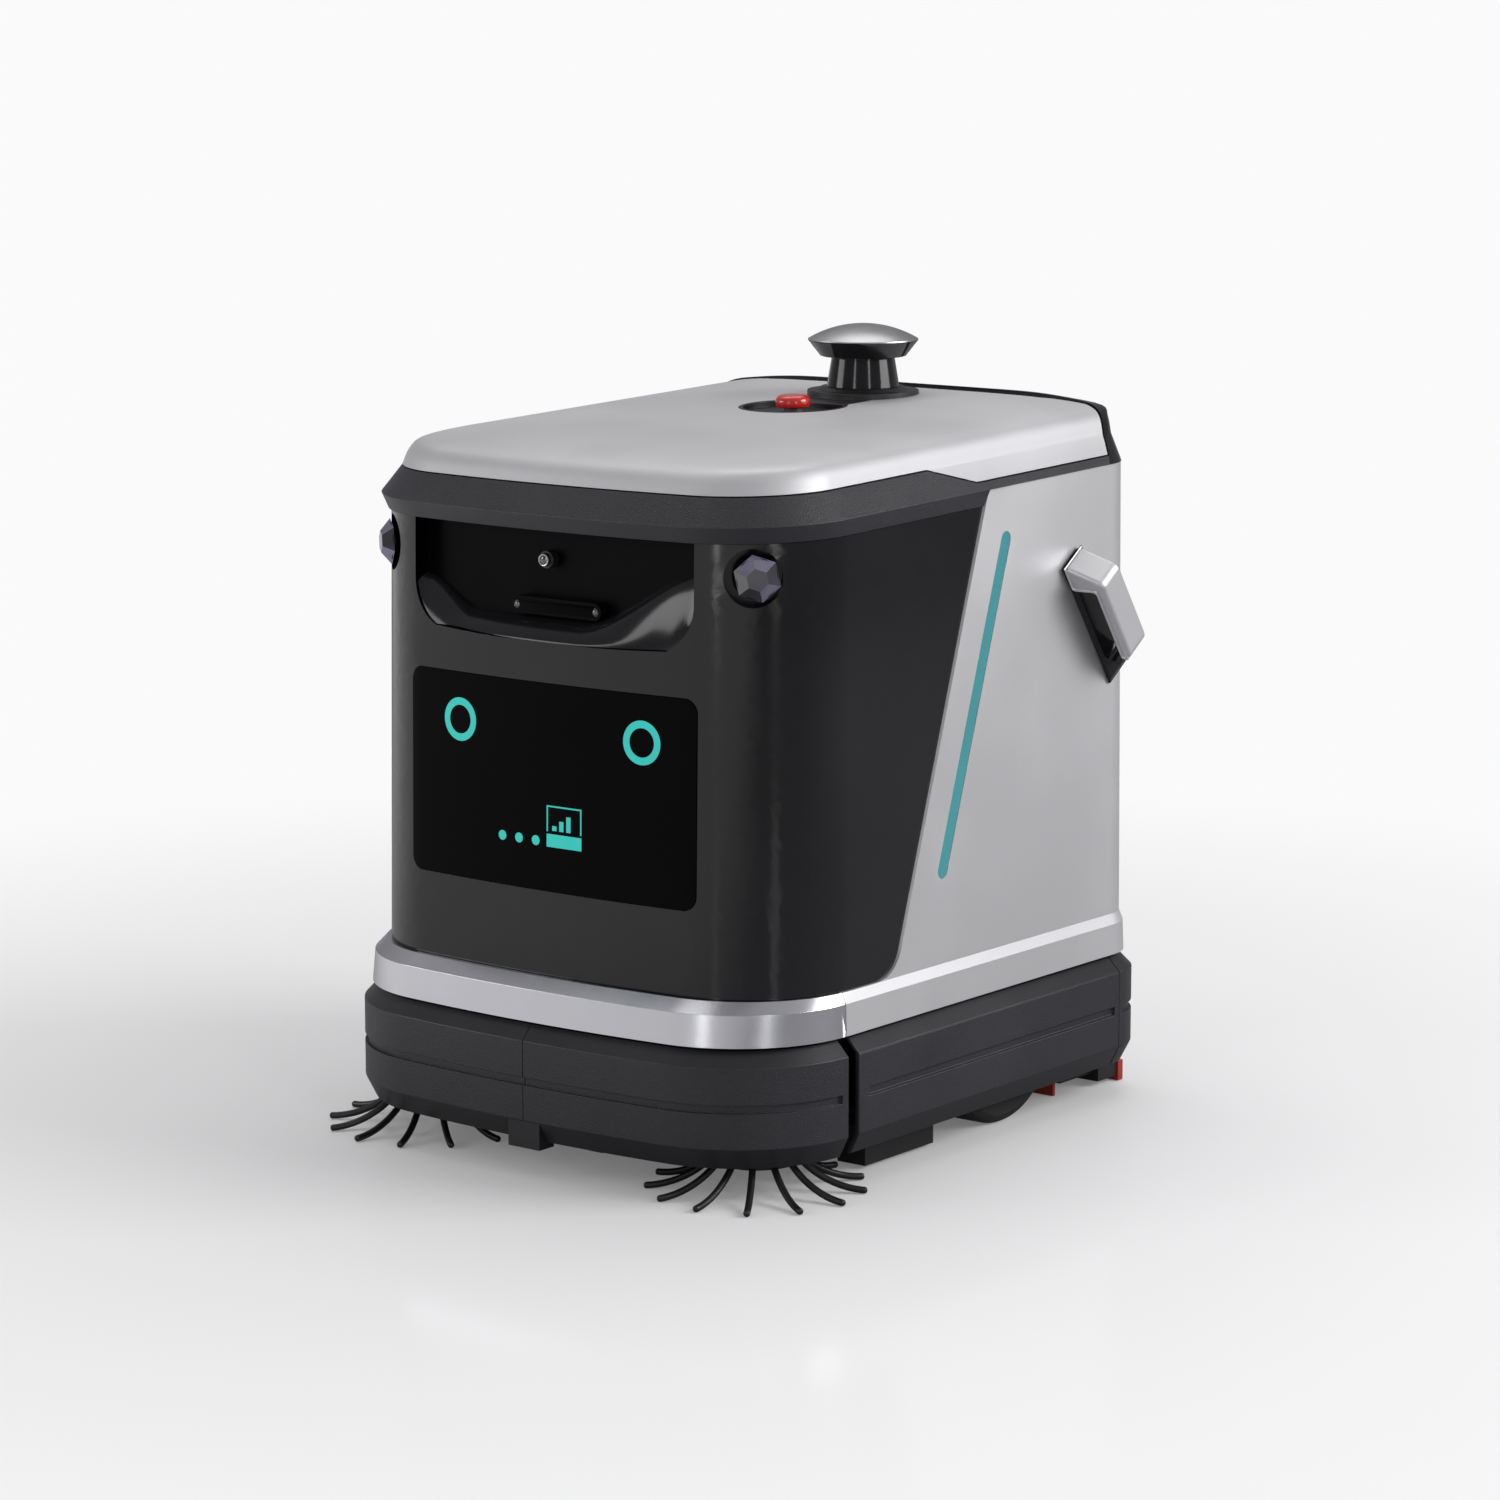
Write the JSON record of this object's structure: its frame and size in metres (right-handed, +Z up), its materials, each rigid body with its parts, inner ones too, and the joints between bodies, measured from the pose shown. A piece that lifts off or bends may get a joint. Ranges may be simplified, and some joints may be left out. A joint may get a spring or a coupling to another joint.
{
  "type": "robotic floor cleaner",
  "caption": "Compact upright robotic floor cleaner: screen front, silver covers, sprung bumper, corner sweeping brushes, roller deck, squeegee, hinged lid with sensor tower and stop button.",
  "frame": {"origin": "on the floor, under the middle of the machine's box", "axes": "+Z up, the screen front faces -Y, +X to the viewer's right when facing the screen"},
  "size_m": [0.546, 0.5936, 0.684],
  "materials": {
    "silver_paint": "satin metallic silver paint on moulded panels",
    "bright_band": "polished aluminium trim",
    "black_gloss": "piano black",
    "screen_glass": "black display window",
    "dark_texture": "fine spark texture, dark grey",
    "black_plastic": "plain moulded black",
    "inner_plastic": "plain moulded grey",
    "tank_plastic": "blow moulded tank",
    "teal_light": "diffuser of the light strips",
    "chrome_cap": "brushed and lacquered",
    "lens_glass": "dark optical window",
    "stop_red": "signal red",
    "blade_red": "red polyurethane blade",
    "tyre_rubber": "treadless soft rubber",
    "bristle_black": "thick nylon strands",
    "steel": "zinc plated",
    "contact_metal": "plated contact",
    "hub_alloy": "cast, painted",
    "hose_black": "smooth"
  },
  "bodies": {
    "chassis": {"chassis_base": "black_plastic", "inner_frame": "inner_plastic", "front_fascia": "black_gloss", "display_glass": "screen_glass", "display_module": "black_plastic", "front_band": "bright_band", "side_panel_left": "silver_paint", "side_panel_right": "silver_paint", "led_strips": "teal_light", "rear_cover": "black_gloss", "top_collar": "dark_texture", "side_skirt_left": "dark_texture", "side_skirt_right": "dark_texture", "rear_skirt": "dark_texture", "side_handle_left": "black_plastic", "side_handle_right": "black_plastic", "handle_covers": "silver_paint", "front_camera": "lens_glass", "depth_camera": "lens_glass", "corner_sensors": "lens_glass", "battery_pack": "inner_plastic", "control_board": "black_plastic", "clean_water_tank": "tank_plastic", "waste_water_tank": "tank_plastic", "tank_caps": "black_plastic", "vacuum_motor": "black_plastic", "suction_hose": "hose_black", "water_pump": "black_plastic", "charge_contacts": "contact_metal", "panel_screws": "steel", "side_brush_motors": "black_plastic", "hinge_brackets": "steel", "hinge_pins": "steel"},
    "front_bumper": {"front_bumper_left": "dark_texture", "front_bumper_right": "dark_texture", "bumper_bracket": "dark_texture"},
    "lid": {"top_lid": "silver_paint", "tower_plinth": "black_gloss", "tower_window": "black_gloss", "tower_cap": "chrome_cap"},
    "tower_rotor": {"tower_rotor": "black_plastic"},
    "stop_stem": {"stop_stem": "black_plastic"},
    "stop_button": {"stop_button": "stop_red"},
    "arm_left": {"suspension_arm_left": "steel"},
    "arm_right": {"suspension_arm_right": "steel"},
    "wheel_left": {"drive_tyre_left": "tyre_rubber", "wheel_hub_left": "hub_alloy"},
    "wheel_right": {"drive_tyre_right": "tyre_rubber", "wheel_hub_right": "hub_alloy"},
    "caster_fork": {"caster_fork": "steel"},
    "caster_wheel": {"caster_wheel": "tyre_rubber"},
    "brush_deck": {"brush_deck": "black_plastic", "brush_motor": "black_plastic"},
    "main_brush": {"main_brush": "bristle_black"},
    "side_brush_left": {"side_brush_left": "bristle_black"},
    "side_brush_right": {"side_brush_right": "bristle_black"},
    "squeegee": {"squeegee_body": "black_plastic", "squeegee_blades": "blade_red"},
    "fan": {"vacuum_impeller": "inner_plastic"},
    "power_button": {"power_button": "steel"}
  },
  "joints": [
    {"name": "bumper_press", "type": "slide", "parent": "chassis", "child": "front_bumper", "axis": [0, 1, 0], "range_m": [0, 0.0035], "stiffness_N_per_m": 1500},
    {"name": "lid_open", "type": "hinge", "parent": "chassis", "child": "lid", "pos_m": [0, 0.24624, 0.61141], "axis": [-1, 0, 0], "range_deg": [0, 75]},
    {"name": "tower_spin", "type": "hinge", "parent": "lid", "child": "tower_rotor", "pos_m": [0, 0.185, 0.64], "axis": [0, 0, 1], "continuous": true},
    {"name": "stop_press", "type": "slide", "parent": "lid", "child": "stop_stem", "axis": [0, 0.03, -0.9996], "range_m": [0, 0.004]},
    {"name": "stop_twist", "type": "hinge", "parent": "stop_stem", "child": "stop_button", "pos_m": [0, 0.08116, 0.61146], "axis": [0, -0.03, 0.9996], "range_deg": [0, 30], "stiffness_Nm_per_rad": 0.05},
    {"name": "suspension_left", "type": "hinge", "parent": "chassis", "child": "arm_left", "pos_m": [-0.155, 0.025, 0.12], "axis": [1, 0, 0], "range_deg": [-4, 0], "stiffness_Nm_per_rad": 20, "springref_deg": -17.19},
    {"name": "wheel_left_spin", "type": "hinge", "parent": "arm_left", "child": "wheel_left", "pos_m": [-0.197, 0.102, 0.0825], "axis": [1, 0, 0], "continuous": true},
    {"name": "suspension_right", "type": "hinge", "parent": "chassis", "child": "arm_right", "pos_m": [0.155, 0.025, 0.12], "axis": [1, 0, 0], "range_deg": [-4, 0], "stiffness_Nm_per_rad": 20, "springref_deg": -17.19},
    {"name": "wheel_right_spin", "type": "hinge", "parent": "arm_right", "child": "wheel_right", "pos_m": [0.197, 0.102, 0.0825], "axis": [1, 0, 0], "continuous": true},
    {"name": "caster_swivel", "type": "hinge", "parent": "chassis", "child": "caster_fork", "pos_m": [0, -0.205, 0.044], "axis": [0, 0, 1], "continuous": true},
    {"name": "caster_roll", "type": "hinge", "parent": "caster_fork", "child": "caster_wheel", "pos_m": [0, -0.191, 0.019], "axis": [1, 0, 0], "continuous": true},
    {"name": "deck_lift", "type": "slide", "parent": "chassis", "child": "brush_deck", "axis": [0, 0, 1], "range_m": [0, 0.008]},
    {"name": "main_brush_spin", "type": "hinge", "parent": "brush_deck", "child": "main_brush", "pos_m": [0, -0.046, 0.0315], "axis": [1, 0, 0], "continuous": true},
    {"name": "side_brush_left_spin", "type": "hinge", "parent": "chassis", "child": "side_brush_left", "pos_m": [-0.178, -0.203, 0.03], "axis": [0, 0, 1], "continuous": true},
    {"name": "side_brush_right_spin", "type": "hinge", "parent": "chassis", "child": "side_brush_right", "pos_m": [0.178, -0.203, 0.03], "axis": [0, 0, 1], "continuous": true},
    {"name": "squeegee_lift", "type": "slide", "parent": "chassis", "child": "squeegee", "axis": [0, 0, 1], "range_m": [0, 0.008]},
    {"name": "fan_spin", "type": "hinge", "parent": "chassis", "child": "fan", "pos_m": [-0.075, -0.15, 0.09], "axis": [0, 0, 1], "continuous": true},
    {"name": "power_press", "type": "slide", "parent": "chassis", "child": "power_button", "axis": [0, -1, 0], "range_m": [0, 0.003], "stiffness_N_per_m": 600}
  ]
}
